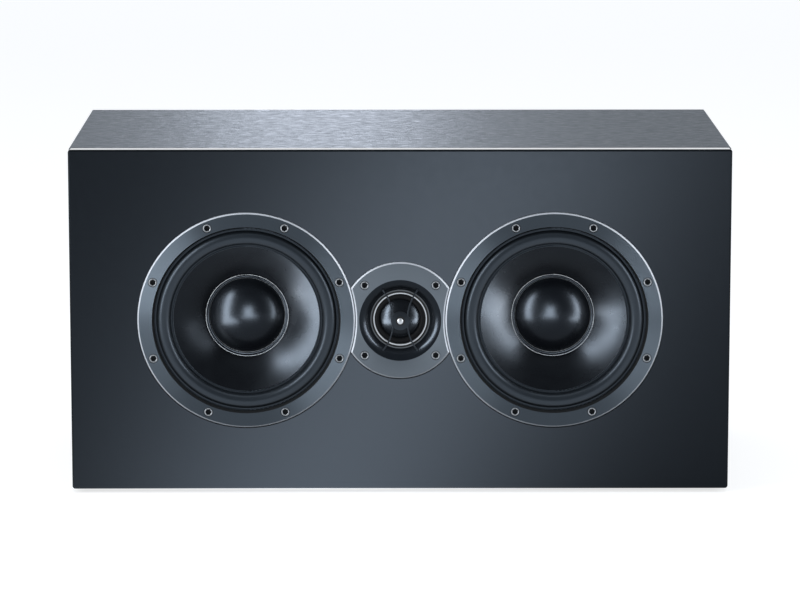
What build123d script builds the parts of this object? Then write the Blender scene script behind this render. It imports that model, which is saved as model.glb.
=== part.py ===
"""Centre channel loudspeaker: a sealed two-way cabinet with two cone woofers beside one dome tweeter.

Millimetres, +Z up. The front faces -Y, and the origin is under the middle of the object, where it stands.
Depths are counted backwards from the front face. Driver outlines are (radius, depth) about the driver's axis.
"""
from build123d import *
from math import copysign, cos, radians, sin, sqrt
import os

# Cabinet
WIDTH = 470.0
HEIGHT = 245.0
DEPTH = 240.0
FRONT_T = 10.0
FRONT_EDGE_R = 1.4
FRONT_CORNER_R = 2.0
SEAM_CHAMFER = 0.5
WRAP_T = 16.0
WRAP_EDGE_R = 1.0
BAFFLE_T = 16.0
REAR_T = 16.0
REAR_RECESS = 6.0
GLUE_GAP = 0.05
FOOT_R = 10.0
FOOT_H = 3.0
FOOT_EDGE = 0.6
FOOT_INSET = 32.0

# Fits shared by the drivers
FLANGE_GAP = 0.5
GASKET_T = 1.0
SEAT_GAP = 0.1
SCREW_R = 1.9
SCREW_L = 18.0
SCREW_HEAD_R = 3.0
SCREW_HEAD_H = 2.4
SCREW_SINK = 0.3
SCREW_EDGE = 0.5
SCREW_SOCKET = 4.0
SCREW_SOCKET_D = 1.5
SCREW_PILOT_GAP = 0.05
SCREW_HOLE_GAP = 0.3

# Woofer frame
WOOFER_X = 109.6
WOOFER_R = 77.5
WOOFER_FLANGE_T = 5.0
FLANGE_EDGE = 1.0
WOOFER_OPEN_R = 67.2
WOOFER_SCREW_R = 71.8
WOOFER_SCREWS = 8
SURROUND_SEAT_D = 5.5
SURROUND_SEAT_IN = 63.5
SURROUND_SEAT_OUT = 66.2
BASKET_BODY_R = 68.1
BASKET_BODY_D = 10.0
BASKET_RING_R = 50.0
BASKET_RING_IN = 46.5
BASKET_SEAT_IN = 41.5
BASKET_FLOOR_T = 2.0
BASKET_FLOOR_IN = 30.0
BASKET_WINDOWS = 6
SPOKE_ANGLE = 18.0
WINDOW_EDGE = 1.0

# Woofer moving parts
CONE_RIM_R = 54.0
CONE_FLARE_R = 52.0
CONE_RIM_D = 7.8
CONE_NECK_D = 33.5
CONE_SAG = 2.2
CONE_T = 1.0
CAP_LIP_OUT = 29.7
CAP_LIP_IN = 26.9
CAP_RISE = 12.0
CAP_T = 0.8
CAP_BEAD = 0.45
SURROUND_T = 0.8
SURROUND_CREST_D = 0.5
SURROUND_CREST_R = 59.2
SURROUND_BEAD = 0.5
COIL_IN = 18.9
FORMER_T = 0.4
WINDING_T = 0.7
COIL_TOP_D = 30.5
WINDING_L = 14.0
SPIDER_D = 40.5
SPIDER_T = 0.8
SPIDER_WAVE = 1.0
SPIDER_FOLDS = 8
SPIDER_LIP = 3.5

# Woofer motor
MOTOR_GAP = 0.6
TOP_PLATE_D = 51.5
TOP_PLATE_T = 6.0
TOP_PLATE_R = 38.0
MAGNET_R = 43.0
MAGNET_IN = 25.0
MAGNET_T = 16.0
YOKE_T = 6.0
YOKE_VENT_R = 5.0
POLE_RISE = 2.0
STRIP_W = 22.0
STRIP_L = 13.0
STRIP_T = 1.6
STRIP_PAD_T = 3.0
STRIP_TAB_W = 4.8

# Tweeter
TWEETER_R = 42.0
TWEETER_FLANGE_T = 4.0
TWEETER_SCREW_R = 35.8
TWEETER_BODY_R = 30.0
HORN_R = 29.2
THROAT_R = 21.3
THROAT_D = 6.5
HORN_SAG = 1.3
DIAPHRAGM_D = 9.0
DIAPHRAGM_T = 0.4
DOME_R = 14.2
DOME_RISE = 5.5
DOME_ROLL_R = 18.0
DOME_ROLL_RISE = 1.3
DOME_LIP_R = 24.0
TRIM_IN = 18.3
TRIM_RIM = 0.8
TRIM_TOP_D = 5.8
TRIM_GROOVE = 0.7
TWEETER_COIL_L = 5.0
TWEETER_COIL_T = 0.5
TWEETER_GAP = 0.5
TWEETER_PLATE_T = 4.0
TWEETER_MAGNET_IN = 19.0
TWEETER_MAGNET_R = 29.0
TWEETER_MAGNET_T = 10.0
TWEETER_VENT_R = 4.0
CHAMBER_R = 22.0
CHAMBER_L = 17.0
CHAMBER_WALL = 2.0
PLUG_R = 6.7
PLUG_FRONT_D = -2.6
PLUG_T = 1.5
PLUG_BOSS_R = 3.2
PLUG_BOSS_H = 0.6
PIN_R = 2.1
PIN_RISE = 0.7
PIN_TIP_D = -4.0
PIN_GAP = 0.05
LEG_WIRE_R = 0.55
LEG_FOOT = (12.3, 21.6)
LEG_BEND = (7.4, 13.2)
LEG_ROOT = (5.2, 3.4)
LEG_SOCKET_L = 2.5

# Rear terminal
CUP_W = 70.0
CUP_H = 60.0
CUP_FLANGE = 9.0
CUP_FLANGE_T = 2.5
CUP_DEPTH = 26.0
CUP_WALL = 2.0
CUP_CORNER_R = 8.0
CUP_GAP = 0.5
CUP_SCREW_R = 1.5
CUP_SCREW_L = 14.0
CUP_SCREW_HEAD_R = 2.6
CUP_SCREW_HEAD_H = 1.5
POST_PITCH = 19.0
STUD_R = 3.0
BANANA_R = 2.05
BANANA_L = 15.0
STUD_SHOULDER_R = 5.0
STUD_SHOULDER_L = 2.5
STUD_TAIL_R = 2.0
STUD_TAIL_L = 12.0
KNOB_R = 7.5
KNOB_L = 18.0
KNOB_RIB_R = 0.7
KNOB_RIBS = 16
KNOB_GAP = 0.08
KNOB_LIFT = 0.3
NUT_AF = 7.0
NUT_T = 3.0
WIRE_HOLE_R = 1.2

# Crossover
BOARD_W = 120.0
BOARD_H = 90.0
BOARD_T = 1.6
BOARD_STANDOFF = 6.0
BOARD_PEG_R = 2.5
BOARD_PEG_INSET = 7.0
BASS_CHOKE_R = 21.0
BASS_CHOKE_IN = 9.0
BASS_CHOKE_L = 18.0
TREBLE_CHOKE_R = 14.0
TREBLE_CHOKE_IN = 6.0
TREBLE_CHOKE_L = 14.0
CAPACITOR_R = 8.5
CAPACITOR_L = 34.0
CAPACITOR_GAP = 4.0
RESISTOR_W = 9.5
RESISTOR_L = 38.0
PART_LIFT = 0.05

# Leads and damping
LEAD_R = 1.1
LEAD_BEND_R = 12.0
LEAD_RUN = 40.0
LEAD_PITCH = 8.0
LEAD_HOLE_GAP = 0.2
TWEETER_LEAD_X = 8.0
FLEECE_T = 22.0
FLEECE_GAP = 17.0

# The front face, the mid height and the places that follow from the sizes above
Y_FRONT = -(DEPTH - PIN_TIP_D) / 2 - PIN_TIP_D
Z_MID = FOOT_H + HEIGHT / 2
SIDES = {"left": -1, "right": 1}
INSIDE_W = WIDTH - 2 * WRAP_T
INSIDE_H = HEIGHT - 2 * WRAP_T
REAR_BACK_D = DEPTH - REAR_RECESS
REAR_FRONT_D = REAR_BACK_D - REAR_T
WOOFER_HOLE_R = BASKET_BODY_R + FLANGE_GAP
TWEETER_HOLE_R = TWEETER_BODY_R + FLANGE_GAP
COIL_OUT = COIL_IN + FORMER_T
WINDING_OUT = COIL_OUT + WINDING_T
WINDING_TOP_D = TOP_PLATE_D + (TOP_PLATE_T - WINDING_L) / 2
CONE_NECK_R = COIL_OUT + SEAT_GAP
TOP_PLATE_BACK_D = TOP_PLATE_D + TOP_PLATE_T
MAGNET_BACK_D = TOP_PLATE_BACK_D + MAGNET_T
YOKE_BACK_D = MAGNET_BACK_D + YOKE_T
SPIDER_SEAT_D = SPIDER_D + SPIDER_T
SCREW_SEAT_D = SCREW_SINK + SCREW_HEAD_H
SCREW_TIP_D = SCREW_SEAT_D + SCREW_L
DIAPHRAGM_BACK_D = DIAPHRAGM_D + DIAPHRAGM_T
TWEETER_PLATE_BACK_D = DIAPHRAGM_BACK_D + TWEETER_PLATE_T
TWEETER_MAGNET_BACK_D = TWEETER_PLATE_BACK_D + TWEETER_MAGNET_T
TWEETER_YOKE_BACK_D = TWEETER_MAGNET_BACK_D + TWEETER_PLATE_T
CUP_RIM_D = REAR_BACK_D + GASKET_T
CUP_FLOOR_D = CUP_RIM_D + CUP_FLANGE_T - CUP_DEPTH
STUD_FRONT_D = CUP_FLOOR_D - STUD_TAIL_L
STUD_BACK_D = CUP_FLOOR_D + STUD_SHOULDER_L + KNOB_LIFT + KNOB_L
BESIDE_CUP_X = (INSIDE_W + CUP_W) / 4
BOARD_BACK_D = REAR_FRONT_D - BOARD_STANDOFF
BOARD_FRONT_D = BOARD_BACK_D - BOARD_T


def at(x, depth, z):
    """Place of a point across, back from the front face and up from the mid height."""
    return Pos(x, Y_FRONT + depth, Z_MID + z)


def turned(*outline):
    """Solid turned about a driver's axis from the edges of a closed (radius, depth) outline."""
    return revolve(make_face(outline), Axis.Y)


def polygon(*points):
    return Polyline(*points, close=True)


def ring(inner, outer, front, back):
    return turned(polygon((inner, front), (outer, front), (outer, back), (inner, back)))


def rod(radius, front, back):
    return ring(0, radius, front, back)


def slab(outline, front, back):
    """Flat sketch, seen from the front, given thickness between two depths."""
    face = Plane((0, Y_FRONT + front, Z_MID), x_dir=(1, 0, 0), z_dir=(0, -1, 0))
    return extrude(face * outline, amount=back - front, dir=(0, 1, 0))


def mirrored_spots(x, z):
    return [(sx * x, sz * z) for sx in (-1, 1) for sz in (-1, 1)]


def circle_spots(x, radius, count):
    """Centres of holes round a driver, with none on its horizontal or vertical."""
    step = 360 / count
    angles = [radians(step * (i + 0.5)) for i in range(count)]
    return [(x + radius * cos(a), radius * sin(a)) for a in angles]


def arc_centre(start, end, sag):
    """Centre and radius of the arc from start to end that bows by sag to the left of that line."""
    dx, dy = end[0] - start[0], end[1] - start[1]
    chord = sqrt(dx * dx + dy * dy)
    radius = (chord * chord / 4 + sag * sag) / (2 * sag)
    away = (radius - sag) / chord
    middle = ((start[0] + end[0]) / 2, (start[1] + end[1]) / 2)
    return (middle[0] + dy * away, middle[1] - dx * away), radius


def bowed(start, end, sag):
    """Arc between two points, bowing by sag to the left of the line from start to end."""
    dx, dy = end[0] - start[0], end[1] - start[1]
    rise = sag / sqrt(dx * dx + dy * dy)
    top = ((start[0] + end[0]) / 2 - dy * rise, (start[1] + end[1]) / 2 + dx * rise)
    return ThreePointArc(start, top, end)


# Cabinet panels

def driver_rebates():
    """Round recesses that take the three flanges and their gaskets."""
    woofer = rod(WOOFER_R + FLANGE_GAP, 0, WOOFER_FLANGE_T + GASKET_T)
    rebates = [at(s * WOOFER_X, 0, 0) * woofer for s in SIDES.values()]
    return rebates + [at(0, 0, 0) * rod(TWEETER_R + FLANGE_GAP, 0, TWEETER_FLANGE_T + GASKET_T)]


def screw_pilots(front, back):
    """Pilot holes that all the driver screws bite into."""
    spots = [p for s in SIDES.values() for p in woofer_screw_spots(s)] + tweeter_screw_spots()
    hole = rod(SCREW_R + SCREW_PILOT_GAP, front, back)
    return [at(x, 0, z) * hole for x, z in spots]


def woofer_screw_spots(side):
    return circle_spots(side * WOOFER_X, WOOFER_SCREW_R, WOOFER_SCREWS)


def tweeter_screw_spots():
    return mirrored_spots(TWEETER_SCREW_R * sqrt(0.5), TWEETER_SCREW_R * sqrt(0.5))


def driver_holes(front, back):
    """Openings behind the flanges that the frames and motors pass through."""
    woofer = rod(WOOFER_HOLE_R, front, back)
    holes = [at(s * WOOFER_X, 0, 0) * woofer for s in SIDES.values()]
    return holes + [at(0, 0, 0) * rod(TWEETER_HOLE_R, front, back)]


def front_panel():
    """Lacquered front with rounded edges, rebated so that the driver flanges lie flush."""
    panel = slab(RectangleRounded(WIDTH, HEIGHT, FRONT_CORNER_R), 0, FRONT_T)
    panel = fillet(panel.faces().sort_by(Axis.Y)[0].edges(), FRONT_EDGE_R)
    panel = chamfer(panel.faces().sort_by(Axis.Y)[-1].edges(), SEAM_CHAMFER)
    panel -= driver_rebates() + driver_holes(0, FRONT_T)
    return panel - screw_pilots(0, FRONT_T)


def inner_baffle():
    """Board behind the front that carries the drivers' screws."""
    outline = Rectangle(INSIDE_W - 2 * GLUE_GAP, INSIDE_H - 2 * GLUE_GAP)
    back = FRONT_T + BAFFLE_T
    board = slab(outline, FRONT_T, back) - driver_holes(FRONT_T, back)
    return board - screw_pilots(FRONT_T, min(back, SCREW_TIP_D + SEAT_GAP))


def wrap_panels():
    """Top, bottom and sides: one folded wrap of board, mitred at its corners."""
    outline = RectangleRounded(WIDTH, HEIGHT, WRAP_EDGE_R) - Rectangle(INSIDE_W, INSIDE_H)
    wrap = slab(outline, FRONT_T, DEPTH)
    half_w, half_h = WIDTH / 2, HEIGHT / 2
    ridge = half_w - half_h
    top = Polygon((-half_w, half_h), (half_w, half_h), (ridge, 0), (-ridge, 0), align=None)
    side = Polygon((half_w, half_h), (half_w, -half_h), (ridge, 0), align=None)
    wedges = {
        "top_panel": top,
        "bottom_panel": mirror(top, Plane.XZ),
        "right_side_panel": side,
        "left_side_panel": mirror(side, Plane.YZ),
    }
    return {name: wrap & slab(wedge, FRONT_T, DEPTH) for name, wedge in wedges.items()}


def rear_panel():
    """Back board, set in from the wrap's rear edges, with the terminal's opening."""
    outline = Rectangle(INSIDE_W - 2 * GLUE_GAP, INSIDE_H - 2 * GLUE_GAP)
    opening = RectangleRounded(CUP_W + 2 * CUP_GAP, CUP_H + 2 * CUP_GAP, CUP_CORNER_R + CUP_GAP)
    board = slab(outline - opening, REAR_FRONT_D, REAR_BACK_D)
    pilot = rod(CUP_SCREW_R + SCREW_PILOT_GAP, REAR_BACK_D - CUP_SCREW_L, REAR_BACK_D)
    board -= [at(x, 0, z) * pilot for x, z in cup_screw_spots()]
    peg = rod(BOARD_PEG_R + SCREW_PILOT_GAP, REAR_FRONT_D, REAR_FRONT_D + BOARD_STANDOFF)
    return board - [at(x, 0, z) * peg for x, z in board_peg_spots()]


def rubber_feet():
    foot = Cylinder(FOOT_R, FOOT_H, align=(Align.CENTER, Align.CENTER, Align.MIN))
    foot = chamfer(foot.edges().group_by(Axis.Z)[0], FOOT_EDGE)
    across = WIDTH / 2 - FOOT_INSET
    front = Y_FRONT + FOOT_INSET
    back = Y_FRONT + DEPTH - FOOT_INSET
    return Compound([Pos(s * across, y, 0) * foot for s in (-1, 1) for y in (front, back)])


# Woofer

def cone_depth(radius):
    """Depth of the cone's front surface at a radius."""
    neck, rim = (CONE_NECK_R, CONE_NECK_D), (CONE_FLARE_R, CONE_RIM_D)
    centre, arc_r = arc_centre(rim, neck, CONE_SAG)
    return centre[1] - sqrt(arc_r ** 2 - (radius - centre[0]) ** 2)


def basket():
    """Cast frame: flange, seats for surround and spider, windowed wall and motor seat."""
    shell = turned(polygon(
        (WOOFER_OPEN_R, 0),
        (WOOFER_R - FLANGE_EDGE, 0),
        (WOOFER_R, FLANGE_EDGE),
        (WOOFER_R, WOOFER_FLANGE_T),
        (BASKET_BODY_R, WOOFER_FLANGE_T),
        (BASKET_BODY_R, BASKET_BODY_D),
        (BASKET_RING_R, SPIDER_D),
        (BASKET_RING_R, TOP_PLATE_D),
        (BASKET_FLOOR_IN, TOP_PLATE_D),
        (BASKET_FLOOR_IN, TOP_PLATE_D - BASKET_FLOOR_T),
        (BASKET_SEAT_IN, TOP_PLATE_D - BASKET_FLOOR_T),
        (BASKET_SEAT_IN, SPIDER_SEAT_D),
        (BASKET_RING_IN, SPIDER_SEAT_D),
        (BASKET_RING_IN, SPIDER_D),
        (SURROUND_SEAT_IN, BASKET_BODY_D),
        (SURROUND_SEAT_IN, SURROUND_SEAT_D),
        (SURROUND_SEAT_OUT, SURROUND_SEAT_D),
    ))
    step = 360 / BASKET_WINDOWS
    gap = make_face(polygon(
        (BASKET_RING_IN - WINDOW_EDGE, SPIDER_D - WINDOW_EDGE),
        (BASKET_RING_R + WINDOW_EDGE, SPIDER_D - WINDOW_EDGE),
        (BASKET_BODY_R + WINDOW_EDGE, BASKET_BODY_D + WINDOW_EDGE),
        (SURROUND_SEAT_IN - WINDOW_EDGE, BASKET_BODY_D + WINDOW_EDGE),
    ))
    window = revolve(gap, Axis.Y, step - SPOKE_ANGLE)
    shell -= [Rot(0, step * i + SPOKE_ANGLE / 2, 0) * window for i in range(BASKET_WINDOWS)]
    hole = rod(SCREW_R + SCREW_HOLE_GAP, 0, WOOFER_FLANGE_T)
    sink = rod(SCREW_HEAD_R + SCREW_HOLE_GAP, 0, SCREW_SEAT_D)
    spots = circle_spots(0, WOOFER_SCREW_R, WOOFER_SCREWS)
    shell -= [Pos(x, 0, z) * tool for x, z in spots for tool in (hole, sink)]
    return shell + terminal_pad()


def terminal_pad():
    """Boss under the motor ring that the terminal strip is fixed to."""
    reach = BASKET_RING_R - BASKET_SEAT_IN + STRIP_PAD_T
    pad = Box(STRIP_W, STRIP_PAD_T, reach, align=(Align.CENTER, Align.MAX, Align.MAX))
    return Pos(0, TOP_PLATE_D, -BASKET_SEAT_IN - SEAT_GAP) * pad


def terminal_strip():
    """Insulating strip with two solder tabs."""
    strip = Box(STRIP_W, STRIP_T, STRIP_L, align=(Align.CENTER, Align.MIN, Align.MAX))
    tab = Box(STRIP_TAB_W, STRIP_T / 2, STRIP_L, align=(Align.CENTER, Align.MIN, Align.MAX))
    tabs = [Pos(s * STRIP_W / 4, STRIP_T, -STRIP_L / 2) * tab for s in (-1, 1)]
    return Pos(0, TOP_PLATE_D, -BASKET_RING_R + STRIP_PAD_T) * (strip + tabs)


def woofer_gasket():
    spots = circle_spots(0, WOOFER_SCREW_R, WOOFER_SCREWS)
    hole = rod(SCREW_R + SCREW_HOLE_GAP, WOOFER_FLANGE_T, WOOFER_FLANGE_T + GASKET_T)
    seal = ring(WOOFER_HOLE_R, WOOFER_R, WOOFER_FLANGE_T, WOOFER_FLANGE_T + GASKET_T)
    return seal - [Pos(x, 0, z) * hole for x, z in spots]


def surround():
    """Rubber half roll between the frame's seat and the cone's rim, with a bead along both lips."""
    outer_top = SURROUND_SEAT_D - SURROUND_T
    inner_top = CONE_RIM_D - SURROUND_T
    lip_out = SURROUND_SEAT_OUT - SEAT_GAP
    bead_r = lip_out - 2 * SURROUND_BEAD
    foot_out, foot_in = SURROUND_SEAT_IN + SURROUND_T, CONE_RIM_R
    crest = (SURROUND_CREST_R, SURROUND_CREST_D)
    under = (SURROUND_CREST_R, SURROUND_CREST_D + SURROUND_T)
    lip_in = CONE_FLARE_R
    return turned(
        Line((lip_out, SURROUND_SEAT_D), (lip_out, outer_top)),
        ThreePointArc(
            (lip_out, outer_top),
            (lip_out - SURROUND_BEAD, outer_top - SURROUND_BEAD),
            (bead_r, outer_top),
        ),
        Line((bead_r, outer_top), (foot_out, outer_top)),
        ThreePointArc((foot_out, outer_top), crest, (foot_in, inner_top)),
        Line((foot_in, inner_top), (lip_in + 2 * SURROUND_BEAD, inner_top)),
        ThreePointArc(
            (lip_in + 2 * SURROUND_BEAD, inner_top),
            (lip_in + SURROUND_BEAD, inner_top - SURROUND_BEAD),
            (lip_in, inner_top),
        ),
        Polyline((lip_in, inner_top), (lip_in, CONE_RIM_D), (foot_in + SURROUND_T, CONE_RIM_D)),
        ThreePointArc((foot_in + SURROUND_T, CONE_RIM_D), under, (foot_out - SURROUND_T, SURROUND_SEAT_D)),
        Line((foot_out - SURROUND_T, SURROUND_SEAT_D), (lip_out, SURROUND_SEAT_D)),
    )


def cone():
    """Flared cone with a flat rim under the surround and a neck on the coil former."""
    rim, neck = (CONE_FLARE_R, CONE_RIM_D), (CONE_NECK_R, CONE_NECK_D)
    rim_back, neck_back = (CONE_FLARE_R, CONE_RIM_D + CONE_T), (CONE_NECK_R, CONE_NECK_D + CONE_T)
    return turned(
        Line((CONE_RIM_R, CONE_RIM_D), rim),
        bowed(rim, neck, CONE_SAG),
        Line(neck, neck_back),
        bowed(neck_back, rim_back, -CONE_SAG),
        Polyline(rim_back, (CONE_RIM_R, CONE_RIM_D + CONE_T), (CONE_RIM_R, CONE_RIM_D)),
    )


def dust_cap():
    """Domed cap with a twin-beaded lip that is glued on the cone."""
    out_d = cone_depth(CAP_LIP_OUT) - SEAT_GAP
    in_d = cone_depth(CAP_LIP_IN) - SEAT_GAP
    out_top, in_top = (CAP_LIP_OUT, out_d - CAP_T), (CAP_LIP_IN, in_d - CAP_T)
    groove = ((out_top[0] + in_top[0]) / 2, (out_top[1] + in_top[1]) / 2)
    apex = in_top[1] - CAP_RISE
    inner = CAP_LIP_IN - CAP_T
    return turned(
        Line((CAP_LIP_OUT, out_d), out_top),
        bowed(out_top, groove, CAP_BEAD),
        bowed(groove, in_top, CAP_BEAD),
        cap_arc(in_top, apex),
        Line((0, apex), (0, apex + CAP_T)),
        cap_arc((inner, in_d), apex + CAP_T),
        Line((inner, in_d), (CAP_LIP_OUT, out_d)),
    )


def cap_arc(edge, apex):
    """Arc of a dome from its edge to its apex on the axis, square to the axis there."""
    rise = edge[1] - apex
    radius = (edge[0] ** 2 + rise ** 2) / (2 * rise)
    half = edge[0] / 2
    drop = half ** 2 / (radius + copysign(sqrt(radius ** 2 - half ** 2), radius))
    return ThreePointArc(edge, (half, apex + drop), (0, apex))


def voice_coil():
    """Coil former with its winding, centred in the motor's gap."""
    return turned(polygon(
        (COIL_IN, COIL_TOP_D),
        (COIL_OUT, COIL_TOP_D),
        (COIL_OUT, WINDING_TOP_D),
        (WINDING_OUT, WINDING_TOP_D),
        (WINDING_OUT, WINDING_TOP_D + WINDING_L),
        (COIL_IN, WINDING_TOP_D + WINDING_L),
    ))


def spider():
    """Corrugated centring disc from the coil former to its seat in the frame."""
    inner = COIL_OUT + SEAT_GAP
    outer = BASKET_RING_IN - SEAT_GAP
    first, last = inner + SPIDER_LIP, outer - SPIDER_LIP
    pitch = (last - first) / SPIDER_FOLDS
    folds = [first + pitch * i for i in range(SPIDER_FOLDS + 1)]
    waves = [0] + [-SPIDER_WAVE if i % 2 else 0 for i in range(1, SPIDER_FOLDS)] + [0]
    front = [(r, SPIDER_D + w) for r, w in zip(folds, waves)]
    back = [(r, d + SPIDER_T) for r, d in reversed(front)]
    ends_front = [(outer, SPIDER_D), (outer, SPIDER_SEAT_D)]
    ends_back = [(inner, SPIDER_SEAT_D), (inner, SPIDER_D)]
    return turned(polygon(*front, *ends_front, *back, *ends_back))


def yoke():
    """Back plate and vented pole piece, turned as one."""
    pole_r = COIL_IN - MOTOR_GAP
    return turned(polygon(
        (YOKE_VENT_R, TOP_PLATE_D - POLE_RISE),
        (pole_r, TOP_PLATE_D - POLE_RISE),
        (pole_r, MAGNET_BACK_D),
        (TOP_PLATE_R, MAGNET_BACK_D),
        (TOP_PLATE_R, YOKE_BACK_D),
        (YOKE_VENT_R, YOKE_BACK_D),
    ))


def driver_screw():
    """Hex socket screw: bevelled head, plain shank, seated in its counterbore."""
    back = SCREW_SEAT_D
    screw = turned(polygon(
        (0, SCREW_SINK),
        (SCREW_HEAD_R - SCREW_EDGE, SCREW_SINK),
        (SCREW_HEAD_R, SCREW_SINK + SCREW_EDGE),
        (SCREW_HEAD_R, back),
        (SCREW_R, back),
        (SCREW_R, SCREW_TIP_D - SCREW_R),
        (0, SCREW_TIP_D),
    ))
    hexagon = RegularPolygon(SCREW_SOCKET / sqrt(3), 6)
    socket = extrude(Plane((0, SCREW_SINK, 0), z_dir=(0, 1, 0)) * hexagon, amount=SCREW_SOCKET_D)
    return screw - socket


def woofer(side):
    """All the pieces of one woofer, as node name to solid."""
    spot = at(SIDES[side] * WOOFER_X, 0, 0)
    plate_in = WINDING_OUT + MOTOR_GAP
    pieces = {
        "basket": basket(),
        "gasket": woofer_gasket(),
        "surround": surround(),
        "cone": cone(),
        "dust_cap": dust_cap(),
        "voice_coil": voice_coil(),
        "spider": spider(),
        "top_plate": ring(plate_in, TOP_PLATE_R, TOP_PLATE_D, TOP_PLATE_BACK_D),
        "magnet": ring(MAGNET_IN, MAGNET_R, TOP_PLATE_BACK_D, MAGNET_BACK_D),
        "yoke": yoke(),
        "terminal_strip": terminal_strip(),
    }
    placed = {f"{side}_woofer_{name}": spot * piece for name, piece in pieces.items()}
    screw = driver_screw()
    screws = [at(x, 0, z) * screw for x, z in woofer_screw_spots(SIDES[side])]
    placed[f"{side}_woofer_screws"] = Compound(screws)
    return placed


# Tweeter

def horn_depth(radius):
    """Depth of the horn's wall at a radius."""
    mouth, throat = (HORN_R, 0), (THROAT_R, THROAT_D)
    centre, arc_r = arc_centre(mouth, throat, HORN_SAG)
    return centre[1] - sqrt(arc_r ** 2 - (radius - centre[0]) ** 2)


def leg_feet():
    return mirrored_spots(*LEG_FOOT)


def tweeter_faceplate():
    """Round plate with a short horn, notched where the woofer frames reach into it."""
    mouth, throat = (HORN_R, 0), (THROAT_R, THROAT_D)
    plate = turned(
        Polyline(mouth, (TWEETER_R - FLANGE_EDGE, 0), (TWEETER_R, FLANGE_EDGE)),
        Polyline(
            (TWEETER_R, FLANGE_EDGE),
            (TWEETER_R, TWEETER_FLANGE_T),
            (TWEETER_BODY_R, TWEETER_FLANGE_T),
            (TWEETER_BODY_R, DIAPHRAGM_BACK_D),
            (DOME_LIP_R + SEAT_GAP, DIAPHRAGM_BACK_D),
            (DOME_LIP_R + SEAT_GAP, DIAPHRAGM_D),
            (THROAT_R, DIAPHRAGM_D),
            throat,
        ),
        bowed(throat, mouth, -HORN_SAG),
    )
    notch_r = WOOFER_R + FLANGE_GAP
    notch = turned(polygon(
        (0, 0),
        (notch_r + FLANGE_EDGE, 0),
        (notch_r, FLANGE_EDGE),
        (notch_r, TWEETER_FLANGE_T),
        (0, TWEETER_FLANGE_T),
    ))
    plate -= [Pos(s * WOOFER_X, 0, 0) * notch for s in SIDES.values()]
    hole = rod(SCREW_R + SCREW_HOLE_GAP, 0, TWEETER_FLANGE_T)
    sink = rod(SCREW_HEAD_R + SCREW_HOLE_GAP, 0, SCREW_SEAT_D)
    plate -= [Pos(x, 0, z) * tool for x, z in tweeter_screw_spots() for tool in (hole, sink)]
    socket = rod(LEG_WIRE_R + SEAT_GAP, 0, leg_socket_floor() + SEAT_GAP)
    return plate - [Pos(x, 0, z) * socket for x, z in leg_feet()]


def leg_socket_floor():
    return horn_depth(sqrt(LEG_FOOT[0] ** 2 + LEG_FOOT[1] ** 2)) + LEG_SOCKET_L


def tweeter_gasket():
    back = TWEETER_FLANGE_T + GASKET_T
    seal = ring(TWEETER_HOLE_R, TWEETER_R, TWEETER_FLANGE_T, back)
    notch = rod(WOOFER_R + FLANGE_GAP, TWEETER_FLANGE_T, back)
    hole = rod(SCREW_R + SCREW_HOLE_GAP, TWEETER_FLANGE_T, back)
    seal -= [Pos(s * WOOFER_X, 0, 0) * notch for s in SIDES.values()]
    return seal - [Pos(x, 0, z) * hole for x, z in tweeter_screw_spots()]


def trim_ring():
    """Bright metal ring in the throat, with two raised rims and a groove between."""
    outer = THROAT_R - SEAT_GAP
    return turned(polygon(
        (TRIM_IN, TRIM_TOP_D),
        (TRIM_IN + TRIM_RIM, TRIM_TOP_D),
        (TRIM_IN + TRIM_RIM, TRIM_TOP_D + TRIM_GROOVE),
        (outer - TRIM_RIM, TRIM_TOP_D + TRIM_GROOVE),
        (outer - TRIM_RIM, TRIM_TOP_D),
        (outer, TRIM_TOP_D),
        (outer, DIAPHRAGM_D),
        (TRIM_IN, DIAPHRAGM_D),
    ))


def diaphragm():
    """Dome and its rolled edge, pressed from one cloth."""
    roll_mid = (DOME_R + DOME_ROLL_R) / 2
    roll_top = (roll_mid, DIAPHRAGM_D - DOME_ROLL_RISE)
    roll_under = (roll_mid, DIAPHRAGM_BACK_D - DOME_ROLL_RISE)
    apex = DIAPHRAGM_D - DOME_RISE
    return turned(
        Line((DOME_LIP_R, DIAPHRAGM_D), (DOME_ROLL_R, DIAPHRAGM_D)),
        ThreePointArc((DOME_ROLL_R, DIAPHRAGM_D), roll_top, (DOME_R, DIAPHRAGM_D)),
        cap_arc((DOME_R, DIAPHRAGM_D), apex),
        Line((0, apex), (0, apex + DIAPHRAGM_T)),
        cap_arc((DOME_R, DIAPHRAGM_BACK_D), apex + DIAPHRAGM_T),
        ThreePointArc((DOME_R, DIAPHRAGM_BACK_D), roll_under, (DOME_ROLL_R, DIAPHRAGM_BACK_D)),
        Polyline((DOME_ROLL_R, DIAPHRAGM_BACK_D), (DOME_LIP_R, DIAPHRAGM_BACK_D), (DOME_LIP_R, DIAPHRAGM_D)),
    )


def tweeter_voice_coil():
    front = DIAPHRAGM_BACK_D + SEAT_GAP
    return ring(DOME_R - TWEETER_COIL_T, DOME_R, front, front + TWEETER_COIL_L)


def tweeter_yoke():
    """Back plate and vented pole piece of the tweeter's motor."""
    pole_r = DOME_R - TWEETER_COIL_T - TWEETER_GAP
    pole_top = DIAPHRAGM_BACK_D + DIAPHRAGM_T
    return turned(polygon(
        (TWEETER_VENT_R, pole_top),
        (pole_r, pole_top),
        (pole_r, TWEETER_MAGNET_BACK_D),
        (TWEETER_MAGNET_R, TWEETER_MAGNET_BACK_D),
        (TWEETER_MAGNET_R, TWEETER_YOKE_BACK_D),
        (TWEETER_VENT_R, TWEETER_YOKE_BACK_D),
    ))


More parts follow.
